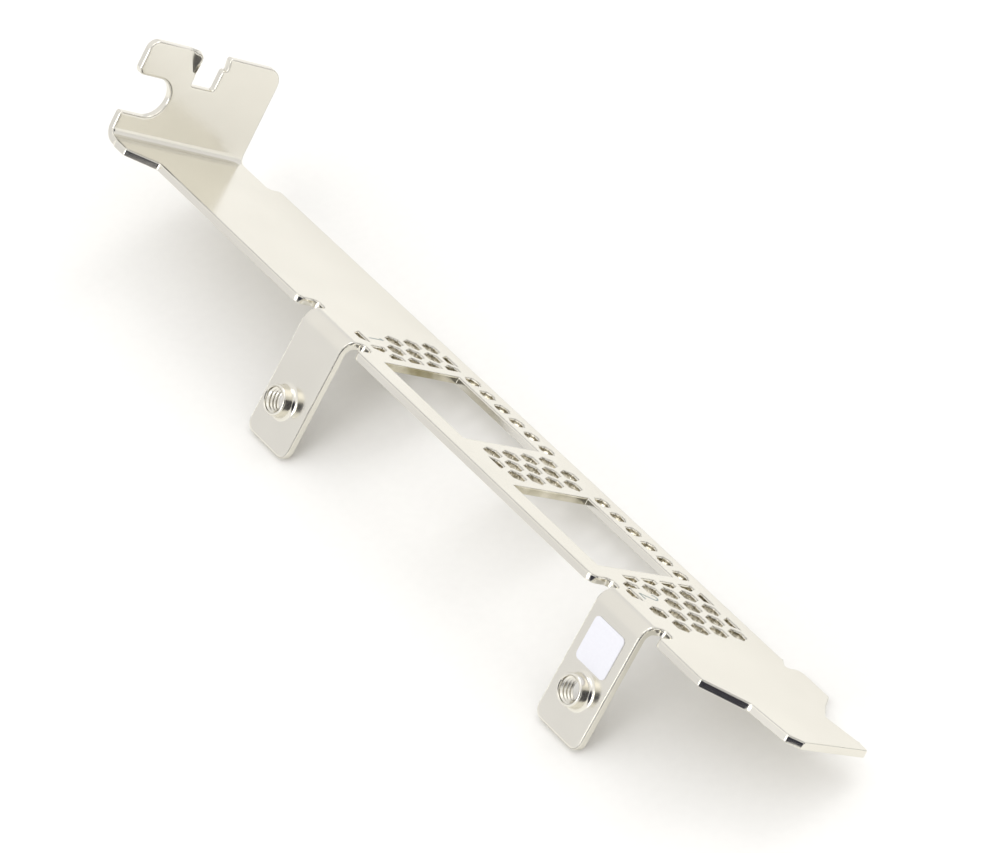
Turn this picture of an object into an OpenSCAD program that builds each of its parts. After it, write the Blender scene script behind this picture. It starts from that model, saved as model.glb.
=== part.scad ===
// Full-height slot cover bracket for an expansion card with two port openings.
// One folded sheet of plated steel: a long face plate, a mounting tab folded up
// at one end, a tongue at the other, and two card tabs folded down from the near
// edge, each with a tapped boss pushed out of the sheet. A small paper label is
// stuck to the second card tab.
//
// The sheet is drawn in the face plate's own frame (outer face at z = 0) and is
// then laid down as it rests on a table: on the tips of the card tabs and on the
// far edge of the plate.

/* [Sheet] */
// Thickness of the sheet
sheet_t = 0.86; // [0.7:0.01:1.1]
// Inner radius of every fold
bend_r = 0.85; // [0.5:0.05:1.2]

/* [Face plate] */
// Length from the outer face of the mounting tab to the end of the tongue
plate_l = 120.02; // [117:0.01:124]
// Width of the face plate
plate_w = 18.42; // [17.6:0.01:19.6]
// How far the mounting end reaches past the near edge
flange_reach = 3.6; // [2.5:0.1:5]
// Where the mounting end starts to taper back to the near edge
flange_l = 4.65; // [4:0.05:8]
// Length of the recess in the far edge at the mounting end
recess_l = 6.95; // [5:0.05:9]
// Depth of that recess
recess_d = 1.86; // [1:0.02:2.5]

/* [Tongue] */
// Length of the tongue, measured from where the near taper starts
tongue_l = 10.1; // [9:0.1:13]
// Distance from the near edge to the tongue at its root
tongue_near = 4.1; // [3:0.1:5]
// Distance from the near edge to the tongue's far side at its root
tongue_far = 15.1; // [13.6:0.1:16]
// How far the ear beside the tongue stands out past the far edge
ear_out = 1.18; // [0.6:0.02:1.6]
// Length of the ear's straight edge
ear_l = 3.9; // [2:0.1:5]

/* [Mounting tab] */
// Height of the mounting tab above the face plate
mount_h = 11.8; // [11:0.05:13]
// Lean of the mounting tab away from square
mount_lean = 1.25; // [0:0.05:3]
// Width of the open screw notch
screw_w = 4.8; // [4.2:0.1:5.2]
// Height of the screw notch's centre line above the face plate
screw_z = 5.1; // [4.8:0.05:5.6]
// Reach of the screw notch past the near edge
screw_reach = 2.38; // [1.5:0.01:3]
// Start of the top slot, from the near edge
slot_y = 4.5; // [4:0.1:5.4]
// Width of the top slot
slot_w = 3.45; // [2.4:0.05:3.8]
// Height of the top slot's floor above the face plate
slot_z = 7.55; // [7:0.05:8.4]
// Bend of the lobe's corner beside the top slot, towards the inner face
crease_deg = 18; // [8:1:25]

/* [Card tabs] */
// Reach of the card tabs below the plate's outer face
tab_drop = 15.45; // [13.5:0.05:18]
// Width of each card tab
tab_w = 7.55; // [6.8:0.05:8.6]
// Middle of the first card tab
tab_x1 = 41.5; // [40.8:0.05:42]
// Middle of the second card tab
tab_x2 = 96.8; // [96.3:0.05:97.4]
// Corner radius at the tips of the card tabs
tab_tip_r = 1.3; // [0.5:0.1:2]
// Width of the relief cuts beside the card tabs
relief_w = 1.75; // [1.2:0.05:2.2]
// Depth of the relief cuts from the near edge
relief_d = 2.6; // [2.2:0.05:2.8]

/* [Tapped bosses] */
// Distance of the first boss from the mounting tab's outer face
boss_x1 = 41.2; // [40.6:0.05:42]
// Distance of the second boss from the mounting tab's outer face
boss_x2 = 97; // [96.4:0.05:97.6]
// Distance of the boss axes below the plate's outer face
boss_z = 10.15; // [9.4:0.05:11]
// Height of the bosses above the tab's outer face
boss_h = 1.55; // [1.1:0.05:2]
// Outer radius of the bosses
boss_r = 1.75; // [1.65:0.05:2.1]
// Radius of the tapped hole, at the roots of its M3 thread
bore_r = 1.45; // [1.3:0.01:1.52]

/* [Port openings] */
// Length of each port opening
port_l = 15.05; // [14:0.05:15.6]
// Start of the first port opening
port_x1 = 48.95; // [48.8:0.05:49.4]
// Strip of plate between the two port openings
port_gap = 9.45; // [9:0.05:10]
// Strip of plate between the near edge and the port openings
port_y = 3.1; // [3:0.05:3.6]
// Strip of plate between the port openings and the far edge
port_rail = 4.17; // [3.9:0.01:4.6]

/* [Vent holes] */
// Radius of the hexagonal vent holes, to a corner
vent_r = 1.03; // [0.8:0.01:1.1]
// Distance from one vent hole to the next in the rows beside the ports
vent_pitch = 2.82; // [2.7:0.01:2.9]
// Distance from one column of vent holes to the next
vent_step = 2.3; // [2.25:0.01:2.35]
// Radius of the vent holes beside the ports, to a corner
side_r = 0.92; // [0.7:0.01:1]
// Distance from the near edge to the lowest row of vent holes
vents_near = 5.03; // [4.8:0.01:5.2]
// Distance from the far edge to the top row of vent holes
vents_far = 2.11; // [2:0.01:2.4]

/* [Label] */
// Length of the paper label across the tab
label_w = 4.9; // [4:0.1:5.4]
// Height of the paper label along the tab
label_h = 5.05; // [4:0.05:5.1]

/* [Hidden] */
$fn = 48;
arc_steps = 8;
eps = 0.01;

// Folds
fold_out = bend_r + sheet_t;
fold_leg = 0.2;

// Mounting tab
mount_far = plate_w - recess_d;
lobe_r = 2;
lobe_slot_r = 0.7;
lobe_top_r = 1.3;
lobe_low_r = 0.8;
arm_z = screw_z - screw_w / 2;
lobe_z = screw_z + screw_w / 2;
arm_in = 0.3;
barb = 0.6;
barb_h = 2.65;
barb_z = slot_z + barb_h;
crease_y = 2.15;
crease_z = 3.1;
crease_turn = atan2(crease_y, crease_z);
crease_l = norm([crease_y, crease_z]);

// Plate edges: lengths of the tapers and depths of the corner cuts
flange_taper = 2.15;
taper_x = plate_l - tongue_l;
taper_l = 3.65;
tongue_lean = 0.8;
tip_cut = 1.1;
tip_cut_w = 1.5;
tip_out = 1.1;
tip_l = 1.6;
throat_l = 4.15;
shoulder_l = 2.05;
shoulder_in = 1.35;
ear_y = plate_w + ear_out;
ear_x = taper_x - 0.1;
ear_end = ear_x - ear_l - 1;
nick_in = 1;
nick_l = 1.6;
soft_r = 0.5;
sharp_r = 0.3;

// Relief cuts
relief_r = 1;
relief_mouth = 1.4;

// Bosses
foot_r = 0.55;
lip_r = 0.2;
mouth = 0.06;
way_in = 0.3;

// Port openings
port_x2 = port_x1 + port_l + port_gap;
port_w = plate_w - port_y - port_rail;

// Vent fields: where the first column of each sits, from the ports, and its first row.
// The rows share out the width of the plate between the strips along its edges
vent_strip = 1.57;
field_x1 = port_x1 - vent_strip - 2 * vent_step;
field_x2 = port_x2 - port_gap / 2 - vent_step;
field_x3 = port_x2 + port_l + vent_strip;
row_steps = 8;
row_step = (plate_w - vents_near - vents_far) / row_steps;
field_y1 = vents_near - 0.17 + 3 * row_step;
field_y2 = vents_near - 0.99 + row_step;
field_y3 = vents_near + row_step;
// Whole holes in each field: column, first row, number of holes (in every other row)
whole_1 = [[0, 0, 3], [1, -1, 3]];
whole_2 = [[0, 0, 4], [1, 1, 4], [2, 0, 4]];
whole_3 = [[1, 1, 3], [2, 2, 3], [3, -1, 4], [4, 0, 4]];
// Half holes where the pattern is cut off: the same, then the side that is kept
half_1 = [[2, -2, 4, 180], [1, -3, 1, 0], [1, 5, 1, 270]];
half_2 = [[1, -1, 1, 90]];
half_3 = [[0, 0, 4, 0], [1, -1, 1, 180], [1, 7, 1, 270], [3, 7, 1, 270]];
// The half hole under each port number
number_y = vents_near - 0.78;
number_on = 0.3;
number_back = 0.87;
number_x1 = field_x1 + number_on;
number_x2 = field_x3 + 2 * vent_step - number_back;
// The single row of holes beside each port
side_row = 6;
side_y = plate_w - 2.34;
side_h = 1.6;
side_in = 0.43;

// Label
label_t = 0.1;
label_r = 0.6;
label_x = 96.75;
label_z = -5.12;

// Rest: the plate leans on its ear and on the inner corners of the tab tips
rest_tilt = atan2(tab_drop - sheet_t, ear_y - sheet_t);
rest_lift = ear_y * sin(rest_tilt) + sheet_t * cos(rest_tilt);
// The middle of what it covers on the table: the tab tips are its near side and the
// rounded corner of the mounting tab its far side
lean_out = (mount_h - bend_r) * sin(mount_lean) - fold_out * (1 - cos(mount_lean));
corner_z = bend_r * (1 - sin(mount_lean)) + (mount_h - lobe_r - bend_r) * cos(mount_lean);
rest_near = -tab_drop * sin(rest_tilt);
rest_far = (mount_far - lobe_r) * cos(rest_tilt) + corner_z * sin(rest_tilt) + lobe_r;
rest_mid = [(plate_l - lean_out) / 2, (rest_near + rest_far) / 2];

function unit(v) = v / norm(v);

// One corner of an outline, rounded to radius r between its two neighbours
function fillet(a, b, c, r) =
    let (
        u = unit(a - b),
        w = unit(c - b),
        half = acos(u * w) / 2,
        mid = b + unit(u + w) * r / sin(half),
        first = b + u * r / tan(half) - mid,
        last = b + w * r / tan(half) - mid,
        start = atan2(first.y, first.x),
        turn = (180 - 2 * half) * sign(cross(first, last))
    )
    [for (i = [0:arc_steps]) mid + r * [cos(start + turn * i / arc_steps), sin(start + turn * i / arc_steps)]];

function xy(p) = [p.x, p.y];

// An outline given as corners [x, y, corner radius]
function outline(pts) =
    let (n = len(pts))
    [for (i = [0:n - 1])
        let (
            a = xy(pts[(i + n - 1) % n]),
            b = xy(pts[i]),
            c = xy(pts[(i + 1) % n])
        )
        each pts[i].z == 0 ? [b] : fillet(a, b, c, pts[i].z)];

// Arc about the origin from angle 0 to the angle given
function arc(r, angle, steps) = [for (i = [0:steps]) r * [cos(angle * i / steps), sin(angle * i / steps)]];

// Fold along +Z, from the +X side (angle 0) round to the angle given. A short straight
// leg at each end runs into the flat sheet, so that the two are one piece
module fold(length, angle) {
    steps = ceil($fn * angle / 360);
    out = [cos(angle), sin(angle)];
    leg = fold_leg * [-sin(angle), cos(angle)];
    outer = arc(fold_out, angle, steps);
    inner = arc(bend_r, angle, steps);
    linear_extrude(length)
        polygon([
            [fold_out, -fold_leg],
            each outer,
            out * fold_out + leg,
            out * bend_r + leg,
            each [for (i = [steps:-1:0]) inner[i]],
            [bend_r, -fold_leg]
        ]);
}

module plate_outline() {
    polygon(outline([
        [fold_out, -flange_reach + arm_in, 0],
        [fold_out + arm_in, -flange_reach + arm_in, soft_r],
        [fold_out + 3 * arm_in, -flange_reach, soft_r],
        [flange_l, -flange_reach, sharp_r],
        [flange_l + flange_taper, 0, soft_r],
        [taper_x, 0, sharp_r],
        [taper_x + taper_l, tongue_near, 2 * soft_r],
        [plate_l - tip_cut, tongue_near + tongue_lean, soft_r],
        [plate_l, tongue_near + tongue_lean + tip_cut_w, soft_r],
        [plate_l, tongue_far + tip_out, soft_r],
        [plate_l - tip_l, tongue_far + tip_out, sharp_r],
        [taper_x + throat_l, tongue_far, soft_r],
        [taper_x + shoulder_l, plate_w - shoulder_in, 2 * soft_r],
        [ear_x, ear_y, soft_r],
        [ear_end, ear_y, 2 * soft_r],
        [ear_end - sharp_r / 2, plate_w - nick_in, sharp_r],
        [ear_end - nick_l, plate_w, sharp_r],
        [recess_l, plate_w, soft_r],
        [recess_l, mount_far, soft_r],
        [fold_out, mount_far, 0]
    ]));
}

// Relief cut in the near edge: tab_side is +1 where the tab lies to the right of it
module relief(x, tab_side) {
    out = x - tab_side * relief_w;
    mouth_x = out - tab_side * relief_mouth;
    polygon(outline([
        [x, -relief_r, 0],
        [x, relief_d, relief_w / 3],
        [out, relief_d, relief_w / 2.5],
        [out, 0, relief_r],
        [mouth_x, 0, 0],
        [mouth_x, -relief_r, 0]
    ]));
}

module vent(r) {
    circle(r = r, $fn = 6);
}

module half_vent(r, side) {
    intersection() {
        vent(r);
        rotate([0, 0, side])
            translate([0, -r * 2])
                square(r * 4);
    }
}

// A field of vents: x of its first column and y of its first row
module vent_field(x, y, whole, halves) {
    for (c = whole, i = [0:c[2] - 1])
        translate([x + c[0] * vent_step, y + (c[1] + 2 * i) * row_step])
            vent(vent_r);
    for (c = halves, i = [0:c[2] - 1])
        translate([x + c[0] * vent_step, y + (c[1] + 2 * i) * row_step])
            half_vent(vent_r, c[3]);
}

module side_vents(port_x) {
    for (i = [0:side_row - 1])
        translate([port_x + side_in + i * vent_pitch, side_y])
            intersection() {
                rotate([0, 0, 30])
                    vent(side_r);
                square([side_r * 2, side_h], center = true);
            }
}

module port(x) {
    translate([x, port_y])
        square([port_l, port_w]);
}

module face_plate() {
    translate([0, 0, -sheet_t])
        linear_extrude(sheet_t)
            difference() {
                plate_outline();
                for (x = [tab_x1, tab_x2]) {
                    relief(x - tab_w / 2, 1);
                    relief(x + tab_w / 2, -1);
                    // The tab's own strip of sheet starts at the fold
                    translate([x - tab_w / 2 - eps, -relief_r])
                        square([tab_w + 2 * eps, relief_r + fold_out]);
                }
                port(port_x1);
                port(port_x2);
                vent_field(field_x1, field_y1, whole_1, half_1);
                vent_field(field_x2, field_y2, whole_2, half_2);
                vent_field(field_x3, field_y3, whole_3, half_3);
                for (x = [number_x1, number_x2])
                    translate([x, number_y])
                        half_vent(vent_r, 270);
                side_vents(port_x1);
                side_vents(port_x2);
            }
}

// Outline of the mounting tab: y along the fold, z up
module mount_outline() {
    polygon(outline([
        [-flange_reach + arm_in, bend_r, 0],
        [mount_far, bend_r, 0],
        [mount_far, mount_h, lobe_r],
        [slot_y + slot_w + barb / 2, mount_h, sharp_r],
        [slot_y + slot_w + barb, barb_z, sharp_r / 2],
        [slot_y + slot_w, barb_z, sharp_r],
        [slot_y + slot_w, slot_z, sharp_r],
        [slot_y, slot_z, sharp_r],
        [slot_y - arm_in / 2, mount_h, lobe_slot_r],
        [-flange_reach + arm_in / 2, mount_h, lobe_top_r],
        [-flange_reach + arm_in / 2, lobe_z, lobe_low_r],
        [screw_reach - screw_w / 2, lobe_z, 0],
        [screw_reach - screw_w / 2, arm_z, 0],
        [-flange_reach + arm_in, arm_z, sharp_r]
    ]));
}

// The flat tab; x runs from the outer face to the inner face of the folded sheet
module flat_tab() {
    rotate([90, 0, 90])
        linear_extrude(sheet_t)
            difference() {
                mount_outline();
                translate([screw_reach - screw_w / 2, screw_z])
                    circle(d = screw_w);
            }
}

// Puts things on the crease: z along it from the slot up, y towards the lobe's corner
module on_crease() {
    translate([0, slot_y - crease_y, mount_h])
        rotate([crease_turn, 0, 0])
            children();
}

module corner_block() {
    on_crease()
        translate([-sheet_t, 0, -crease_l])
            cube([3 * sheet_t, crease_y, crease_l + crease_z]);
}

module mounting_tab() {
    difference() {
        flat_tab();
        corner_block();
    }
    // The lobe's corner, turned about the crease on the outer face
    on_crease()
        rotate([0, 0, -crease_deg])
            rotate([-crease_turn, 0, 0])
                translate([0, crease_y - slot_y, -mount_h])
                    intersection() {
                        flat_tab();
                        corner_block();
                    }
}

module mounting_end() {
    // The fold, round an axis along y, and the tab that stands on it
    translate([fold_out, 0, bend_r])
        rotate([0, -mount_lean, 0])
            translate([-fold_out, 0, -bend_r])
                mounting_tab();
    translate([fold_out, mount_far, bend_r])
        rotate([90, 180 - mount_lean, 0])
            fold(mount_far + flange_reach - arm_in, 90 - mount_lean);
}

// Boss pushed out of the sheet round a tapped hole, axis along +Z, foot at z = 0
module boss() {
    rotate_extrude()
        difference() {
            union() {
                translate([0, -sheet_t / 2])
                    square([boss_r, boss_h + sheet_t / 2 - lip_r]);
                square([boss_r - lip_r, boss_h]);
                translate([boss_r - lip_r, boss_h - lip_r])
                    circle(r = lip_r);
                translate([0, -sheet_t / 2])
                    square([boss_r + foot_r, foot_r + sheet_t / 2]);
            }
            translate([boss_r + foot_r, foot_r])
                circle(r = foot_r);
        }
}

// Tapped hole with a chamfered mouth and a rounded way in from behind
module boss_hole() {
    rotate_extrude()
        polygon([
            [0, -2 * sheet_t],
            [bore_r + way_in, -2 * sheet_t],
            [bore_r + way_in, -sheet_t],
            [bore_r, -sheet_t + way_in],
            [bore_r, boss_h - mouth],
            [bore_r + mouth, boss_h],
            [bore_r + mouth, boss_h + sheet_t],
            [0, boss_h + sheet_t]
        ]);
}

// The card tab: a flat strip hanging from its fold, with a boss on its outer face
module card_tab(x, boss_x) {
    difference() {
        union() {
            translate([x - tab_w / 2, fold_out, -fold_out])
                rotate([90, 0, 90])
                    rotate([0, 0, 90])
                        fold(tab_w, 90);
            translate([x, sheet_t, 0])
                rotate([90, 0, 0])
                    linear_extrude(sheet_t)
                        polygon(outline([
                            [-tab_w / 2, -fold_out, 0],
                            [-tab_w / 2, -tab_drop, tab_tip_r],
                            [tab_w / 2, -tab_drop, tab_tip_r],
                            [tab_w / 2, -fold_out, 0]
                        ]));
            translate([boss_x, 0, -boss_z])
                rotate([90, 0, 0])
                    boss();
        }
        translate([boss_x, 0, -boss_z])
            rotate([90, 0, 0])
                boss_hole();
    }
}

// Everything drawn in the face plate's frame goes through here to its rest
module laid_down() {
    translate([-rest_mid.x, -rest_mid.y, rest_lift])
        rotate([-rest_tilt, 0, 0])
            children();
}

module bracket() {
    color([0.82, 0.81, 0.78])
        laid_down()
            union() {
                face_plate();
                mounting_end();
                card_tab(tab_x1, boss_x1);
                card_tab(tab_x2, boss_x2);
            }
}

module label() {
    color([0.96, 0.96, 0.97])
        laid_down()
            translate([label_x, 0, label_z])
                rotate([90, 0, 0])
                    linear_extrude(label_t)
                        polygon(outline([
                            [-label_w / 2, -label_h / 2, label_r],
                            [label_w / 2, -label_h / 2, label_r],
                            [label_w / 2, label_h / 2, label_r],
                            [-label_w / 2, label_h / 2, label_r]
                        ]));
}

bracket();
label();
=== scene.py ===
import math

import bmesh
import bpy
from mathutils import Matrix, Quaternion, Vector


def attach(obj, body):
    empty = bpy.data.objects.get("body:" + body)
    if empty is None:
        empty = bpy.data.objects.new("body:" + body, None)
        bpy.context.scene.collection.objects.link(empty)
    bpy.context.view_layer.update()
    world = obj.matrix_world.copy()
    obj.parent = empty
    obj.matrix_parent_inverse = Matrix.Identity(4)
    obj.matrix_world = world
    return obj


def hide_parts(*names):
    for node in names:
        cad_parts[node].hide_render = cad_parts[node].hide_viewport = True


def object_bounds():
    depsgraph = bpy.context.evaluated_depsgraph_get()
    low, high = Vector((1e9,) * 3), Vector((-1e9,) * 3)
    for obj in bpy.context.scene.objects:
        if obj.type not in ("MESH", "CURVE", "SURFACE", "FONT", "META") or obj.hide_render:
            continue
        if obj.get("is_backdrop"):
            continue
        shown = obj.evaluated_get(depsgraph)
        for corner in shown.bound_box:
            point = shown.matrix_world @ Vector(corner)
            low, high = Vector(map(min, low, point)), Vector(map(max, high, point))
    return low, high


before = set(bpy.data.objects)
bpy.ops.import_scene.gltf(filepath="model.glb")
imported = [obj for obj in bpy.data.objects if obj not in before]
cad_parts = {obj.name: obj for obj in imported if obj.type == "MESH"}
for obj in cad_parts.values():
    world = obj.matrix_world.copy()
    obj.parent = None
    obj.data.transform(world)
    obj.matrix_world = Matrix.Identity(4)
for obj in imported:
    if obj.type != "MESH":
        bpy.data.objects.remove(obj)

# %% [markdown]
# # A slot cover bracket in nickel plated sheet
#
# The CAD part arrives as two solids: the folded bracket and its paper label.
# This script gives them their finish and adds what is too fine for the CAD
# model: the M3 threads in the two bosses, the port numbers marked on the
# plate and the softened edges of the pressed sheet.

# %% Read the part and note its size
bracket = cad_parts["bracket"]
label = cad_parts["label"]
low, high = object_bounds()
print("CAD box in mm:", [round(1000 * (b - a), 2) for a, b in zip(low, high)])

# %% [markdown]
# ## The plate's own frame
#
# The bracket was drawn with the outer face of its plate at z = 0 and the outer
# face of its mounting tab at x = 0, and was then laid down on the tips of its
# card tabs and its far edge. `REST` repeats that move, so that everything added
# here can be placed with the sizes a drawing of the plate would carry.

# %% The sizes that place the added details
MM = 0.001
SHEET = 0.86 * MM
TAB_DROP = 15.45 * MM
EAR_Y = 19.6 * MM
BOSS_X = (41.2 * MM, 97.0 * MM)
BOSS_Z = -10.15 * MM
BOSS_H = 1.55 * MM
PLATE_L = 120.02 * MM

tilt = math.atan2(TAB_DROP - SHEET, EAR_Y - SHEET)
lift = EAR_Y * math.sin(tilt) + SHEET * math.cos(tilt)
# The plate's long end stops at the same x as the CAD box, and the tab tips at the same y.
REST = (
    Matrix.Translation((high[0] - PLATE_L, low[1] + TAB_DROP * math.sin(tilt), lift))
    @ Matrix.Rotation(-tilt, 4, "X")
)
print("tilt", round(math.degrees(tilt), 2), "deg, lift", round(lift / MM, 2), "mm")


# %% [markdown]
# ## Small helpers
#
# `rgb` turns a hex colour into the linear values that shaders use. `add` makes
# a node, sets it up and wires its inputs in one line.

# %% Colour and node helpers
def rgb(code):
    parts = [int(code[i:i + 2], 16) / 255 for i in (1, 3, 5)]
    linear = [p / 12.92 if p <= 0.04045 else ((p + 0.055) / 1.055) ** 2.4 for p in parts]
    return (*linear, 1.0)


def add(tree, kind, values=None, links=None, **settings):
    node = tree.nodes.new(kind)
    for name, value in settings.items():
        setattr(node, name, value)
    for name, value in (values or {}).items():
        node.inputs[name].default_value = value
    for name, socket in (links or {}).items():
        tree.links.new(socket, node.inputs[name])
    return node


def new_material(name):
    material = bpy.data.materials.new(name)
    material.use_nodes = True
    tree = material.node_tree
    tree.nodes.clear()
    return material, tree


def finish_material(tree, shader):
    add(tree, "ShaderNodeOutputMaterial", links={"Surface": shader.outputs["BSDF"]})


print("mid grey in linear light:", round(rgb("#808080")[0], 3))

# %% [markdown]
# ## Bright nickel plating
#
# Nickel reflects a little less blue than red, so whatever it mirrors turns
# slightly warm, and a second bounce inside a fold turns warmer still. Bright
# plating over cold-rolled sheet is nearly mirror smooth: the rolling leaves a
# faint grain along the sheet, a few tenths of a millimetre wide. An image of metal
# could be wrapped round the sheet, but it would bring its own reflections with it, so
# the colour and the gloss come from noise and the reflections from the room.

# %% Nickel material
# Length and width of the grain, and the height of its bump
GRAIN_L, GRAIN_W = 2.5 * MM, 0.25 * MM
BUMP = 0.01 * MM


def nickel(name, rough, grain, darker_tone="#E6E3D9", lighter_tone="#EAE7DD", stain_and_glint_size=9.0 * MM):
    material, tree = new_material(name)
    place = add(tree, "ShaderNodeTexCoord").outputs["Object"]
    # Stains in the plating's colour. On the vents' walls this noise is fine and strong, and its bright
    # spots are painted glints
    stain_and_glint = add(tree, "ShaderNodeTexNoise", {"Scale": 1 / stain_and_glint_size, "Detail": 3.0}, {"Vector": place})
    spread = add(tree, "ShaderNodeMapRange", {"From Min": 0.35, "From Max": 0.65},
                 {"Value": stain_and_glint.outputs["Fac"]})
    tint = add(tree, "ShaderNodeMix", data_type="RGBA", links={0: spread.outputs[0]})
    tint.inputs[6].default_value = rgb(darker_tone)
    tint.inputs[7].default_value = rgb(lighter_tone)
    # Fine grain, stretched along the length of the sheet
    stretch = add(tree, "ShaderNodeMapping", {"Scale": (1 / GRAIN_L, 1 / GRAIN_W, 1 / GRAIN_W)},
                  {"Vector": place})
    lines = add(tree, "ShaderNodeTexNoise", {"Scale": 1.0, "Detail": 2.0}, {"Vector": stretch.outputs[0]})
    gloss = add(tree, "ShaderNodeMapRange", {"To Min": rough * 0.8, "To Max": rough * 1.25},
                {"Value": lines.outputs["Fac"]})
    bump = add(tree, "ShaderNodeBump", {"Strength": grain, "Distance": BUMP},
               {"Height": lines.outputs["Fac"]})
    shader = add(tree, "ShaderNodeBsdfPrincipled", {"Metallic": 1.0},
                 {"Base Color": tint.outputs[2], "Roughness": gloss.outputs[0],
                  "Normal": bump.outputs[0]})
    finish_material(tree, shader)
    return material


# %% The four nickel finishes
# Bright and nearly mirror smooth, so that the faces show the room
nickel_sheet = nickel("nickel plated sheet", 0.19, 0.12)
# Without grain, so that the fine ridges stay crisp
nickel_thread = nickel("nickel plated thread", 0.2, 0.0)
# The sheared walls of the holes: duller and more olive than clean nickel is, and darker
# still as painted shade for the shade inside the holes. The vents' walls also get a fine,
# strong mottle whose bright spots are painted glints. Their tone is given here, and is no
# measured colour of a sheared edge
nickel_vent_wall_shade_and_glints = nickel("nickel plated vent wall with painted shade and glints", 0.26, 0.0, "#9C9580", "#F2ECDC", 0.45 * MM)
nickel_port_wall_shade = nickel("nickel plated port wall with painted shade", 0.24, 0.0, "#A09878", "#EAE5D4", 4.0 * MM)
print("finishes:", [m.name for m in (nickel_sheet, nickel_thread, nickel_vent_wall_shade_and_glints, nickel_port_wall_shade)])

# %% [markdown]
# ## Paper label
#
# The label is a plain white piece of coated paper, about five millimetres square. An
# even white would look like plastic, so a faint mottle and bump stand in for its
# fibres, and a middling roughness gives the soft sheen of the coating.

# %% Paper material
paper, tree = new_material("coated white paper")
place = add(tree, "ShaderNodeTexCoord").outputs["Object"]
fibre = add(tree, "ShaderNodeTexNoise", {"Scale": 3000.0, "Detail": 4.0}, {"Vector": place})
white = add(tree, "ShaderNodeMix", data_type="RGBA", links={0: fibre.outputs["Fac"]})
white.inputs[6].default_value = rgb("#D2D2D9")
white.inputs[7].default_value = rgb("#D9D9DF")
bump = add(tree, "ShaderNodeBump", {"Strength": 0.1, "Distance": BUMP}, {"Height": fibre.outputs["Fac"]})
shader = add(tree, "ShaderNodeBsdfPrincipled", {"Roughness": 0.45},
             {"Base Color": white.outputs[2], "Normal": bump.outputs[0]})
finish_material(tree, shader)
print(paper.name, "nodes:", len(tree.nodes))

# %% [markdown]
# ## The sheet with its rolled edges
#
# A punch doesn't leave a sharp edge where it enters the sheet: the metal is
# drawn down and rolls over before it shears. The roll is shallow and wide, about
# two fifths of the sheet's thickness wide and an eighth of it deep,
# and it gives the bracket its bright outline. It lies on the side the punch came from:
# the plate's outer face, the card tabs' outer faces and the mounting tab's inner
# face, which are one continuous surface through the folds.
#
# The CAD solid is copied, its flat triangles are merged into whole faces, and
# that surface gets a border of narrow strips that curve down towards its edge.

# %% Copy the CAD solid into the plate's own frame
MERGE = 0.02 * MM
rolled = bmesh.new()
rolled.from_mesh(bracket.data)
# How much each edge is softened later on
soften_by = rolled.edges.layers.float.new("bevel_weight_edge")
bmesh.ops.remove_doubles(rolled, verts=rolled.verts, dist=MERGE)
rolled.transform(REST.inverted())
bmesh.ops.dissolve_limit(rolled, angle_limit=math.radians(0.5), verts=rolled.verts, edges=rolled.edges)
print("faces after merging:", len(rolled.faces))

# %% [markdown]
# On the real bracket only the side where the punch enters has rolled edges. Its faces
# could be picked by hand, but the folds are made of many narrow facets, so a rule reads
# each face's direction and place instead.

# %% Find the side that the punch came from
# Outer radius of every fold
FOLD_OUT = 1.71 * MM
# Faces closer than this to a plane count as lying in it
CLOSE = 0.01 * MM
# The card tabs start beyond this, and the mounting tab lies before it
TABS_FROM = 20 * MM


def on_punch_side(face):
    n = face.normal
    c = face.calc_center_median()
    plate = n.z > 0.999 and abs(c.z) < CLOSE
    tab = n.y < -0.999 and abs(c.y) < CLOSE and c.z < -SHEET
    tab_fold = (abs(n.x) < 0.01 and n.y < -0.001 and n.z > 0.001
                and c.y < FOLD_OUT and c.z > -FOLD_OUT and c.x > TABS_FROM)
    mount = n.x > 0.9 and c.x < 2 * FOLD_OUT and c.z > 0.5 * FOLD_OUT - SHEET / 2
    mount_fold = (abs(n.y) < 0.01 and n.x > 0.001 and n.z > 0.001
                  and c.x < 1.05 * FOLD_OUT and c.z > -CLOSE)
    return plate or tab or tab_fold or mount or mount_fold


# A dictionary keeps the order of the mesh. A set wouldn't, and each run would then
# fill the flat faces with slightly different triangles.
side = dict.fromkeys(f for f in rolled.faces if on_punch_side(f))
area = sum(f.calc_area() for f in side) / MM ** 2
print("faces on the punch side:", len(side), "area", round(area, 1), "mm2")

# %% [markdown]
# The roll gets narrower round a tight corner, where it would otherwise run over
# itself. Long edges are cut a little way from their ends, so that this stays
# close to the corner.

# %% Cut the long edges near their ends
ROLL_W = 0.34 * MM
ROLL_D = 0.1 * MM
# Edges longer than this many rolls are cut
LONG = 2.4


def rim_edges():
    edges = dict.fromkeys(e for f in side for e in f.edges)
    return [e for e in edges if sum(g in side for g in e.link_faces) == 1]


for e in rim_edges():
    length = e.calc_length()
    if length > LONG * ROLL_W:
        start, end = e.verts
        far_part, _ = bmesh.utils.edge_split(e, start, ROLL_W / length)
        rest_length = length - ROLL_W
        for piece in (far_part, e):
            if end in piece.verts and start not in piece.verts:
                bmesh.utils.edge_split(piece, end, ROLL_W / rest_length)
                break
print("edges of the rim after cutting:", len(rim_edges()))


# %% [markdown]
# The strips need the corners of each outline in order, so that every corner knows its
# two neighbours. They could be sorted by angle, but that fails on outlines with
# notches. Every face runs round its own corners the same way, so stepping from rim
# edge to rim edge gives the closed outlines.

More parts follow.
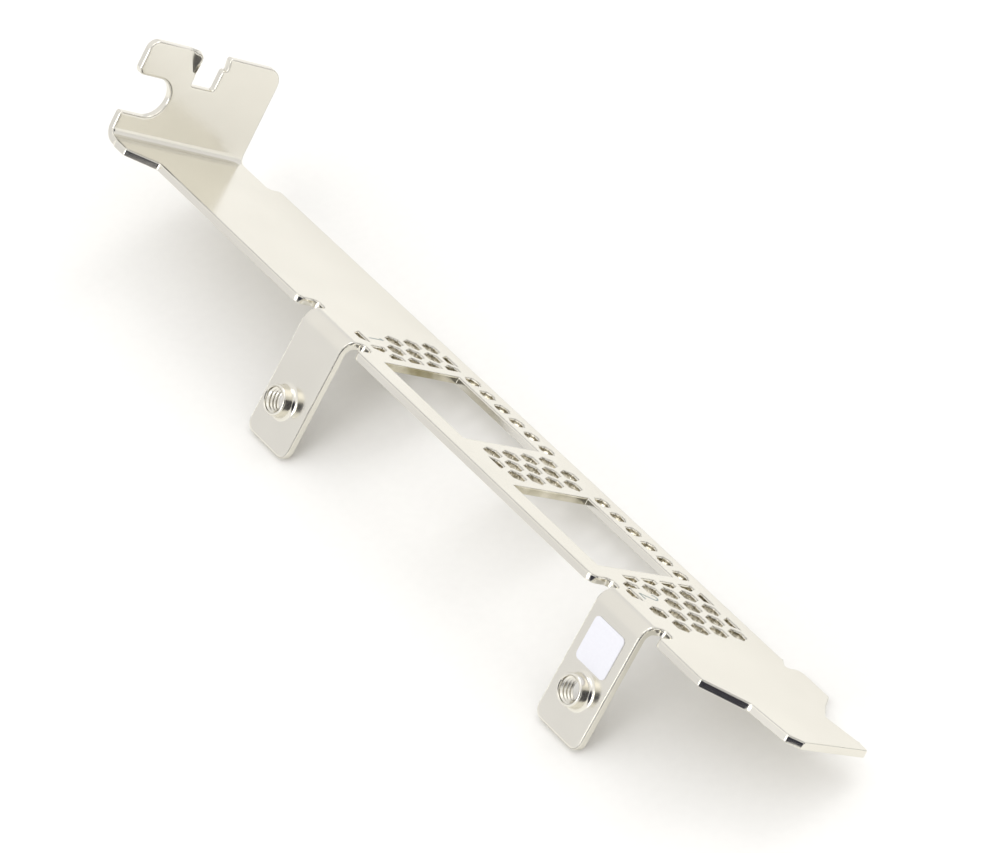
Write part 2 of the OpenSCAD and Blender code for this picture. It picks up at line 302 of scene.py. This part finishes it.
# %% Follow the rim round each outline
def rim_loops():
    """Each closed outline of the punch side as a list of (corner, edge to the next, normal)."""
    after = {}
    for e in rim_edges():
        face = next(f for f in e.link_faces if f in side)
        for corner in face.loops:
            if corner.edge == e:
                after[corner.vert] = (e, corner.link_loop_next.vert, face.normal.copy())
    loops = []
    while after:
        vert = next(iter(after))
        loop = []
        while vert in after:
            e, following, normal = after.pop(vert)
            loop.append((vert, e, normal))
            vert = following
        loops.append(loop)
    return loops


loops = rim_loops()
lengths = sorted(sum(e.calc_length() for _, e, _ in loop) / MM for loop in loops)
print(len(loops), "outlines, from", round(lengths[0], 1), "to", round(lengths[-1], 1), "mm round")

# %% [markdown]
# At each corner the strips run inwards along the mitre between its two edges. The
# roll of a vent is made a little narrower and deeper. Where a boss is drawn
# out of the sheet nothing was sheared, so it gets no roll.

# %% Find the mitre and the width at each corner
# Shorter edges than this, with more of a turn in radians, are the steps of an arc
ARC_STEP, ARC_TURN = 0.2 * MM, 0.05


def mitres(loop, full_w):
    """Each corner of an outline with its mitre, the way out of the sheet and its roll's width."""
    corners = []
    for i, (vert, _, normal) in enumerate(loop):
        before, _, normal_before = loop[i - 1]
        following = loop[(i + 1) % len(loop)][0]
        d_in = (vert.co - before.co).normalized()
        d_out = (following.co - vert.co).normalized()
        p_in = normal_before.cross(d_in)
        p_out = normal.cross(d_out)
        mitre = (p_in + p_out) / max(0.6, 1 + p_in.dot(p_out))
        turn = d_in.angle(d_out, 0)
        width = full_w
        # On a corner that juts out, no wider than the corner's own radius
        if d_out.dot(p_in) > 0 and turn > ARC_TURN:
            shorter = min((vert.co - before.co).length, (following.co - vert.co).length)
            if shorter < ARC_STEP:
                width = min(width, 0.95 * shorter / turn)
        corners.append((vert, mitre, (normal + normal_before).normalized(), width))
    return corners


# %% Work out how the roll runs inwards from each corner
# Where the crease of the mounting tab's bent corner meets the rim, the roll dies out
CREASE_ENDS = ((2.35 * MM, 11.8 * MM), (4.5 * MM, 8.7 * MM))
CREASE_REACH = 0.5 * MM
# An outline shorter than VENT is a vent's, and one from PORT_LOW to PORT_HIGH a port's
VENT, PORT_LOW, PORT_HIGH = 10 * MM, 30 * MM, 60 * MM
# An outline whose middle is this close to the bosses' height is a boss's
BOSS_NEAR = 0.3 * MM


def at_crease(vert):
    if vert.co.x >= FOLD_OUT:
        return False
    return any(math.hypot(vert.co.y - y, vert.co.z - z) < CREASE_REACH for y, z in CREASE_ENDS)


strips = {}
vent_edges = []
port_edges = []
for loop in loops:
    length = sum(e.calc_length() for _, e, _ in loop)
    middle = sum((v.co for v, _, _ in loop), Vector()) / len(loop)
    if abs(middle.z - BOSS_Z) < BOSS_NEAR:
        continue
    full_w, full_d = (0.9 * ROLL_W, 1.2 * ROLL_D) if length < VENT else (ROLL_W, ROLL_D)
    if length < VENT:
        vent_edges += [e for _, e, _ in loop]
    elif PORT_LOW < length < PORT_HIGH:
        port_edges += [e for _, e, _ in loop]
    corners = mitres(loop, full_w)
    # No wider than at the corners on either side, so that the strips can't cross
    for i, (vert, mitre, up, width) in enumerate(corners):
        if at_crease(vert):
            continue
        width = min(width, corners[i - 1][3], corners[(i + 1) % len(corners)][3])
        strips[vert] = (vert.co.copy(), mitre * width, up * full_d * width / full_w)
print("corners with a roll:", len(strips), "edges of vents:", len(vent_edges), "of ports:", len(port_edges))

# %% [markdown]
# The roll could be a bevel, but a plain bevel is as deep as it is wide. Narrow strips
# along the edge can follow a shallow curve: level where they meet the flat sheet, and
# steepest at the edge.

# %% Build the strips along the rim
STEPS = 4
rim = rim_edges()
levels = {}
for vert, (place, inwards, drop) in strips.items():
    levels[vert] = [vert]
    for k in range(1, STEPS + 1):
        f = k / STEPS
        levels[vert].append(rolled.verts.new(place + inwards * f - drop * (1 - f) ** 2))


def level(vert, k):
    return levels[vert][k] if vert in levels else vert


def inner(vert):
    return level(vert, STEPS)


rolled_edges = [e for e in rim if any(v in levels for v in e.verts)]
for e in rolled_edges:
    face = next(f for f in e.link_faces if f in side)
    corner = next(c for c in face.loops if c.edge == e)
    a, b = corner.vert, corner.link_loop_next.vert
    for k in range(STEPS):
        ring = (level(a, k), level(b, k), level(b, k + 1), level(a, k + 1))
        # A triangle where one end of the strip has died out
        rolled.faces.new(tuple(dict.fromkeys(ring)))
print("edges with strips:", len(rolled_edges), "of", len(rim))

# %% [markdown]
# The facets of the folds keep their shape and only get narrower. A flat face with
# its holes could be one many-sided face, but Blender's faces can't have holes, so each
# is filled with triangles inside its new, smaller outline.

# %% Sort the surface into flat faces and fold facets
def plane_of(face):
    n = face.normal
    bent_corner = n.x > 0.9 and n.y < -0.1
    flat = n.z > 0.999 or n.y < -0.999 or n.x > 0.999 or bent_corner
    return tuple(round(v, 1) for v in n) if flat else None


flats = {}
for face in side:
    flats.setdefault(plane_of(face), []).append(face)
for face in flats.pop(None):
    rolled.faces.new([inner(v) for v in face.verts])
    rolled.faces.remove(face)
print("flat faces to fill:", len(flats))

# %% Put the flat faces back inside the strips
outlines = []
for faces in flats.values():
    normal = faces[0].normal.copy()
    own = set(faces)
    border = [e for f in faces for e in f.edges if sum(g in own for g in e.link_faces) == 1]
    ends = [(inner(e.verts[0]), inner(e.verts[1])) for e in border]
    outlines.append((normal, ends))
for faces in flats.values():
    for face in faces:
        rolled.faces.remove(face)
for normal, ends in outlines:
    border = [rolled.edges.get(pair) or rolled.edges.new(pair) for pair in ends]
    filled = bmesh.ops.triangle_fill(
        rolled, use_beauty=True, use_dissolve=False, edges=border, normal=normal)
    made = [g for g in filled["geom"] if isinstance(g, bmesh.types.BMFace)]
    for face in made:
        face.normal_update()
        if face.normal.dot(normal) < 0:
            face.normal_flip()
    print("flat face filled with", len(made), "triangles, normal", [round(v, 2) for v in normal])
for vert, (place, inwards, drop) in strips.items():
    vert.co = place - drop
for e in [e for e in rolled.edges if not e.link_faces]:
    rolled.edges.remove(e)
print("faces with the strips:", len(rolled.faces))

# %% [markdown]
# The other edges of the sheet aren't knife sharp either, and a tiny bevel lets them
# catch the light. It could have one width everywhere, but here each edge carries its
# own weight: full along the rolled rim and half elsewhere. The bosses' edges
# aren't softened.

# %% Mark the edges to soften
# Edges that turn by more degrees than this are sharp
SHARP_FROM = 35
# How far a boss reaches round its bore's axis
BOSS_ROUND = 2.5 * MM
# The crease of the bent corner: longer than this, and between these two angles in degrees
CREASE_L, CREASE_LOW, CREASE_HIGH = 3 * MM, 15, 25
rolled.normal_update()
rim_set = set(rim)
for e in rolled.edges:
    if len(e.link_faces) != 2:
        continue
    angle = math.degrees(e.calc_face_angle())
    if CREASE_LOW < angle < CREASE_HIGH and e.calc_length() > CREASE_L:
        e.smooth = False
    if angle < SHARP_FROM:
        continue
    m = (e.verts[0].co + e.verts[1].co) / 2
    by_boss = any(math.hypot(m.x - x, m.z - BOSS_Z) < BOSS_ROUND and m.z < -FOLD_OUT for x in BOSS_X)
    if by_boss:
        e.smooth = False
    else:
        e[soften_by] = 1.0 if e in rim_set else 0.5
print("edges to soften:", sum(e[soften_by] > 0 for e in rolled.edges))

# %% [markdown]
# The sheared walls of the holes look duller than the plated faces, and they are given a
# darker tone as painted shade. They could be an object of their own, but a second material
# on the same mesh keeps the line between wall and face exact. Material 0 is the sheet, 1
# the vents' walls and 2 the ports'.

# %% Give the walls of the holes their own finish, with painted shade
for f in {f for e in vent_edges for f in e.link_faces}:
    if abs(f.normal.z) < 0.01:
        f.material_index = 1
# Of the ports' walls, only those that face the tongue get the olive tone
# The darker olive tone on these walls is painted shade
for f in {f for e in port_edges for f in e.link_faces}:
    if f.normal.x > 0.2:
        f.material_index = 2
print("faces of each finish:", [sum(f.material_index == i for f in rolled.faces) for i in range(3)])

# %% Turn the copy into the visible sheet
rolled.transform(REST)
sheet_mesh = bpy.data.meshes.new("bracket_sheet")
for f in rolled.faces:
    f.smooth = True
rolled.to_mesh(sheet_mesh)
rolled.free()
sheet = bpy.data.objects.new("bracket_sheet", sheet_mesh)
bpy.context.scene.collection.objects.link(sheet)
for finish in (nickel_sheet, nickel_vent_wall_shade_and_glints, nickel_port_wall_shade):
    sheet.data.materials.append(finish)
print("sheet:", len(sheet_mesh.polygons), "faces")


# %% [markdown]
# The bevel could be cut into the mesh, but a modifier can still be changed. Weighted
# normals then keep the large flat faces flat to the eye beside the small bevels.

# %% Soften what is left of the edges
def soften(piece, width, segments, by_weight):
    soft = piece.modifiers.new("softened edges", "BEVEL")
    soft.width = width
    soft.segments = segments
    soft.limit_method = "WEIGHT" if by_weight else "ANGLE"
    soft.angle_limit = math.radians(SHARP_FROM)
    soft.use_clamp_overlap = not by_weight
    soft.loop_slide = False
    even = piece.modifiers.new("face normals", "WEIGHTED_NORMAL")
    even.keep_sharp = True


soften(sheet, 0.12 * MM, 3, True)
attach(sheet, "root")
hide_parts("bracket")
label.data.materials.clear()
label.data.materials.append(paper)
soften(label, 0.03 * MM, 1, False)
print("softened:", [piece.name for piece in (sheet, label)])

# %% [markdown]
# ## Threads
#
# Each boss is tapped for an M3 screw, 0.5 mm from turn to turn. A bump in the finish
# could only hint at that, so a ridge with a narrow crest is swept along a helix inside
# the bore, from just under the mouth to just short of the far side.

# %% Sweep the M3 threads
STEPS_PER_TURN = 48


def thread(name, centre_x):
    pitch, root, crest = 0.5 * MM, 1.47 * MM, 1.24 * MM
    top, bottom = BOSS_H - 0.1 * MM, -SHEET + 0.12 * MM
    turns = (top - bottom) / pitch
    steps = int(turns * STEPS_PER_TURN)
    fade_steps = STEPS_PER_TURN / 3
    profile = [(root, -0.19 * MM), (crest, -0.03 * MM), (crest, 0.03 * MM), (root, 0.19 * MM)]
    mesh = bpy.data.meshes.new(name)
    bm = bmesh.new()
    rings = []
    for i in range(steps + 1):
        angle = 2 * math.pi * turns * i / steps
        height = bottom + (top - bottom) * i / steps
        # The ridge fades in and out over its first and last third of a turn
        fade = min(1, i / fade_steps, (steps - i) / fade_steps)
        ring = []
        for r, h in profile:
            r = root - (root - r) * fade
            ring.append(bm.verts.new((r * math.cos(angle), r * math.sin(angle), height + h)))
        rings.append(ring)
    for a, b in zip(rings, rings[1:]):
        for j in range(len(profile)):
            k = (j + 1) % len(profile)
            bm.faces.new((a[j], a[k], b[k], b[j]))
    bm.faces.new(rings[0])
    bm.faces.new(list(reversed(rings[-1])))
    bmesh.ops.recalc_face_normals(bm, faces=bm.faces)
    # Bore axis along +Z here, out of the tab along -Y in the plate's frame
    bm.transform(REST @ Matrix.Translation((centre_x, 0, BOSS_Z)) @ Matrix.Rotation(math.pi / 2, 4, "X"))
    bm.to_mesh(mesh)
    bm.free()
    for face in mesh.polygons:
        face.use_smooth = False
    piece = bpy.data.objects.new(name, mesh)
    bpy.context.scene.collection.objects.link(piece)
    piece.data.materials.append(nickel_thread)
    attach(piece, "root")
    print(name, "turns", round(turns, 1), "faces", len(mesh.polygons))


for number, x in enumerate(BOSS_X, 1):
    thread("thread_%d" % number, x)

# %% [markdown]
# ## Port numbers
#
# Each port is numbered with a thin figure in grey ink on the plate, about two
# millimetres high. It could be an image, but strokes built as ribbons stay sharp from
# close by. Ink lies on the plating, so they are a hundredth of a millimetre proud.

# %% Ink material
ink, tree = new_material("grey marking ink")
place = add(tree, "ShaderNodeTexCoord").outputs["Object"]
wear = add(tree, "ShaderNodeTexNoise", {"Scale": 2500.0, "Detail": 3.0}, {"Vector": place})
grey = add(tree, "ShaderNodeMix", data_type="RGBA", links={0: wear.outputs["Fac"]})
grey.inputs[6].default_value = rgb("#6F7F80")
grey.inputs[7].default_value = rgb("#909C9B")
shader = add(tree, "ShaderNodeBsdfPrincipled", {"Roughness": 0.5}, {"Base Color": grey.outputs[2]})
finish_material(tree, shader)
print(ink.name, "nodes:", len(tree.nodes))


# %% [markdown]
# A figure is a few strokes, and a stroke is a row of points. A text object could make
# them too, but its outline depends on a font. Here a four-cornered section stands
# across the stroke at each point, and neighbouring sections are joined.

# %% Draw the figures as ribbons
def figure(name, corner, strokes, stroke_w):
    bm = bmesh.new()
    half, under, over = stroke_w / 2, -0.006 * MM, 0.01 * MM
    for points in strokes:
        ring = []
        for i, p in enumerate(points):
            before, after = points[max(i - 1, 0)], points[min(i + 1, len(points) - 1)]
            along = (after - before).normalized()
            across = Vector((-along.y, along.x)) * half
            section = ((p - across, under), (p + across, under), (p + across, over), (p - across, over))
            ring.append([bm.verts.new((corner.x + q.x, corner.y + q.y, z)) for q, z in section])
        for a, b in zip(ring, ring[1:]):
            for j in range(4):
                bm.faces.new((a[j], a[(j + 1) % 4], b[(j + 1) % 4], b[j]))
        bm.faces.new(ring[0])
        bm.faces.new(list(reversed(ring[-1])))
    bmesh.ops.recalc_face_normals(bm, faces=bm.faces)
    bm.transform(REST)
    mesh = bpy.data.meshes.new(name)
    bm.to_mesh(mesh)
    bm.free()
    piece = bpy.data.objects.new(name, mesh)
    bpy.context.scene.collection.objects.link(piece)
    piece.data.materials.append(ink)
    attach(piece, "root")
    print(name, "faces", len(mesh.polygons))


# %% The figures 1 and 2
def mm(*pairs):
    return [Vector(pair) * MM for pair in pairs]


# The round top of the 2, from its left end over to where the diagonal leaves it
bow_middle, bow_r = Vector((0.55, 1.65)) * MM, 0.5 * MM
bow_from, bow_step, bow_points = 165, 12, 17
bow = [bow_middle + Vector((math.cos(t), math.sin(t))) * bow_r
       for t in (math.radians(bow_from - bow_step * i) for i in range(bow_points))]
one = [mm((0.35, 0), (0.35, 2.15)), mm((0.35, 2.15), (0, 1.8))]
two = [bow + mm((0, 0)), mm((0, 0), (1.15, 0))]
figure("figure_1", Vector((42.85, 5.0)) * MM, one, 0.15 * MM)
figure("figure_2", Vector((93.45, 5.05)) * MM, two, 0.17 * MM)

# %% [markdown]
# ## The table
#
# The bracket lies on a plain white table top that runs far away behind it and ends a
# short way in front. Blender's own plane would do, but this one is built from its
# corners, so that its edges run about square to the camera's view.

# %% The table
FRONT = Vector((0.86, -0.51, 0)).normalized()
SIDE = Vector((-FRONT.y, FRONT.x, 0))
floor_mesh = bpy.data.meshes.new("table")
bm = bmesh.new()
# Metres from the middle of the bracket
front_edge, back_edge, half_width = 0.1, -2.0, 1.2
corners = [FRONT * ahead + SIDE * across for ahead, across in (
    (front_edge, half_width), (back_edge, half_width), (back_edge, -half_width), (front_edge, -half_width))]
bm.faces.new([bm.verts.new(c) for c in corners])
bmesh.ops.subdivide_edges(bm, edges=bm.edges, cuts=8, use_grid_fill=True)
bm.to_mesh(floor_mesh)
bm.free()
table = bpy.data.objects.new("table", floor_mesh)
bpy.context.scene.collection.objects.link(table)
cloth, tree = new_material("white table")
place = add(tree, "ShaderNodeTexCoord").outputs["Object"]
tooth = add(tree, "ShaderNodeTexNoise", {"Scale": 900.0, "Detail": 3.0}, {"Vector": place})
shade = add(tree, "ShaderNodeMix", data_type="RGBA", links={0: tooth.outputs["Fac"]})
shade.inputs[6].default_value = rgb("#E6E5E3")
shade.inputs[7].default_value = rgb("#EAE9E7")
shader = add(tree, "ShaderNodeBsdfPrincipled", {"Roughness": 0.8}, {"Base Color": shade.outputs[2]})
finish_material(tree, shader)
table.data.materials.append(cloth)
table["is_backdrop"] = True
print("table", front_edge - back_edge, "m by", 2 * half_width, "m")

# %% [markdown]
# ## The room
#
# Bright metal shows little but what it mirrors, so the room matters as much as the
# lamps. Walls could be modelled round the bracket, but two dark patches on a pale world
# under a bright ceiling are enough, and are easily moved. Where they sit and how bright
# each part is are given below.

# %% Directions and dark patches
def from_angles(azimuth, elevation, distance=1.0):
    a, e = math.radians(azimuth), math.radians(elevation)
    return Vector((math.cos(a) * math.cos(e), math.sin(a) * math.cos(e), math.sin(e))) * distance


world = bpy.data.worlds.new("room")
bpy.context.scene.world = world
world.use_nodes = True
tree = world.node_tree
tree.nodes.clear()
direction = add(tree, "ShaderNodeTexCoord").outputs["Generated"]


def dark_patch(centre, edge, core):
    """1 within the core angle of a direction, falling to 0 at the edge angle."""
    towards = add(tree, "ShaderNodeVectorMath", {1: centre}, {0: direction}, operation="DOT_PRODUCT")
    limits = {"From Min": math.cos(math.radians(edge)), "From Max": math.cos(math.radians(core))}
    return add(tree, "ShaderNodeMapRange", limits, {"Value": towards.outputs["Value"]},
               interpolation_type="SMOOTHSTEP").outputs[0]


# The dark front of the room, behind the camera, and a doorway to the camera's right
front = dark_patch(from_angles(-25, 18), 38, 29)
doorway = dark_patch(from_angles(38, 15), 20, 12)
dark = add(tree, "ShaderNodeMath", links={0: front, 1: doorway}, operation="MAXIMUM")
print("nodes for the dark patches:", len(tree.nodes))

# %% Walls and ceiling
# Light in red, green and blue from the walls low down and high up
WALL_LOW = (0.865, 0.86, 0.872, 1.0)
WALL_HIGH = (0.96, 0.95, 0.95, 1.0)
room = add(tree, "ShaderNodeMix", data_type="RGBA", links={0: dark.outputs[0]})
height = add(tree, "ShaderNodeSeparateXYZ", links={0: direction}).outputs["Z"]
rise = add(tree, "ShaderNodeMapRange", {"From Min": 0.15, "From Max": 0.65}, {"Value": height},
           interpolation_type="SMOOTHSTEP")
wall = add(tree, "ShaderNodeMix", data_type="RGBA", links={0: rise.outputs[0]})
wall.inputs[6].default_value = WALL_LOW
wall.inputs[7].default_value = WALL_HIGH
# A bright ceiling light
brighter = {"From Min": 0.9, "From Max": 0.96, "To Min": 1.0, "To Max": 1.6}
overhead = add(tree, "ShaderNodeMapRange", brighter, {"Value": height}, interpolation_type="SMOOTHSTEP")
ceiling = add(tree, "ShaderNodeVectorMath", links={0: wall.outputs[2], 3: overhead.outputs[0]},
              operation="SCALE")
tree.links.new(ceiling.outputs[0], room.inputs[6])
room.inputs[7].default_value = rgb("#18182A")
lit = add(tree, "ShaderNodeBackground", {"Strength": 1.0}, {"Color": room.outputs[2]})
print("nodes for the room:", len(tree.nodes))

# %% [markdown]
# One world for every ray would either grey the background or wash out the
# reflections. So reflections see the room, the camera sees plain white, and the light
# that falls on the table and the paper comes from a slightly brighter, warmer white.

# %% What each kind of ray sees
FILL = (1.215, 1.21, 1.2, 1.0)
WHITE = (1.0, 1.0, 1.0, 1.0)
ray = add(tree, "ShaderNodeLightPath")
fill = add(tree, "ShaderNodeMix", data_type="RGBA", links={0: ray.outputs["Is Camera Ray"]})
fill.inputs[6].default_value = FILL
fill.inputs[7].default_value = WHITE
plain = add(tree, "ShaderNodeBackground", {"Strength": 1.0}, {"Color": fill.outputs[2]})
both = add(tree, "ShaderNodeMixShader",
           links={0: ray.outputs["Is Glossy Ray"], 1: plain.outputs[0], 2: lit.outputs[0]})
add(tree, "ShaderNodeOutputWorld", links={"Surface": both.outputs[0]})
print("nodes of the world:", len(tree.nodes))


# %% [markdown]
# ## Lights
#
# An even world gives only faint shadows, and a sun would give hard ones. So there are
# two softboxes: a weak one high up behind the bracket on the camera's right, and a
# stronger one lower down in front of it on the left. Both face the point on the table
# that is under the bracket's middle.

# %% Lights
def softbox(name, place, size, power):
    lamp = bpy.data.lights.new(name, "AREA")
    lamp.shape = "RECTANGLE"
    lamp.size, lamp.size_y = size
    lamp.energy = power
    holder = bpy.data.objects.new(name, lamp)
    holder.location = place
    holder.rotation_euler = (-place).to_track_quat("-Z", "Y").to_euler()
    bpy.context.scene.collection.objects.link(holder)
    print(name, [round(v, 2) for v in place], "power", power, "W")


softbox("back light", from_angles(105, 50, 1.1), (0.5, 0.5), 1.4)
softbox("front light", from_angles(-82, 24, 1.0), (0.5, 0.45), 2.2)

# %% [markdown]
# ## Camera
#
# The camera stands half a metre away and looks down at the bracket, about thirty
# degrees off its length. A short lens from close by would swell the near end, so a long
# lens fills the frame from there. It is rolled by about five degrees.

# %% Camera
ROLL_DEG = -5.12
camera_data = bpy.data.cameras.new("camera")
camera_data.lens = 179.9
camera_data.sensor_width = 36
camera_data.clip_start = 0.01
camera_data.clip_end = 20
camera = bpy.data.objects.new("camera", camera_data)
camera.location = (0.3412, -0.1977, 0.3584)
aim = Vector((0.00114, 0.00365, 0.00676))
turn = (aim - camera.location).to_track_quat("-Z", "Y") @ Quaternion((0, 0, 1), math.radians(ROLL_DEG))
camera.rotation_euler = turn.to_euler()
bpy.context.scene.collection.objects.link(camera)
bpy.context.scene.camera = camera
bpy.context.scene.view_settings.view_transform = "Standard"
print("camera", round((aim - camera.location).length, 3), "m away, lens", round(camera_data.lens, 1), "mm")

# %% [markdown]
#
# The added details mustn't change the size of the part. The CAD box from the start and
# the box of all that is shown now are written side by side, so they can be compared.

# %% Write the sizes and finish
low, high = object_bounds()
print("shown box in mm:", [round(1000 * (b - a), 2) for a, b in zip(low, high)])
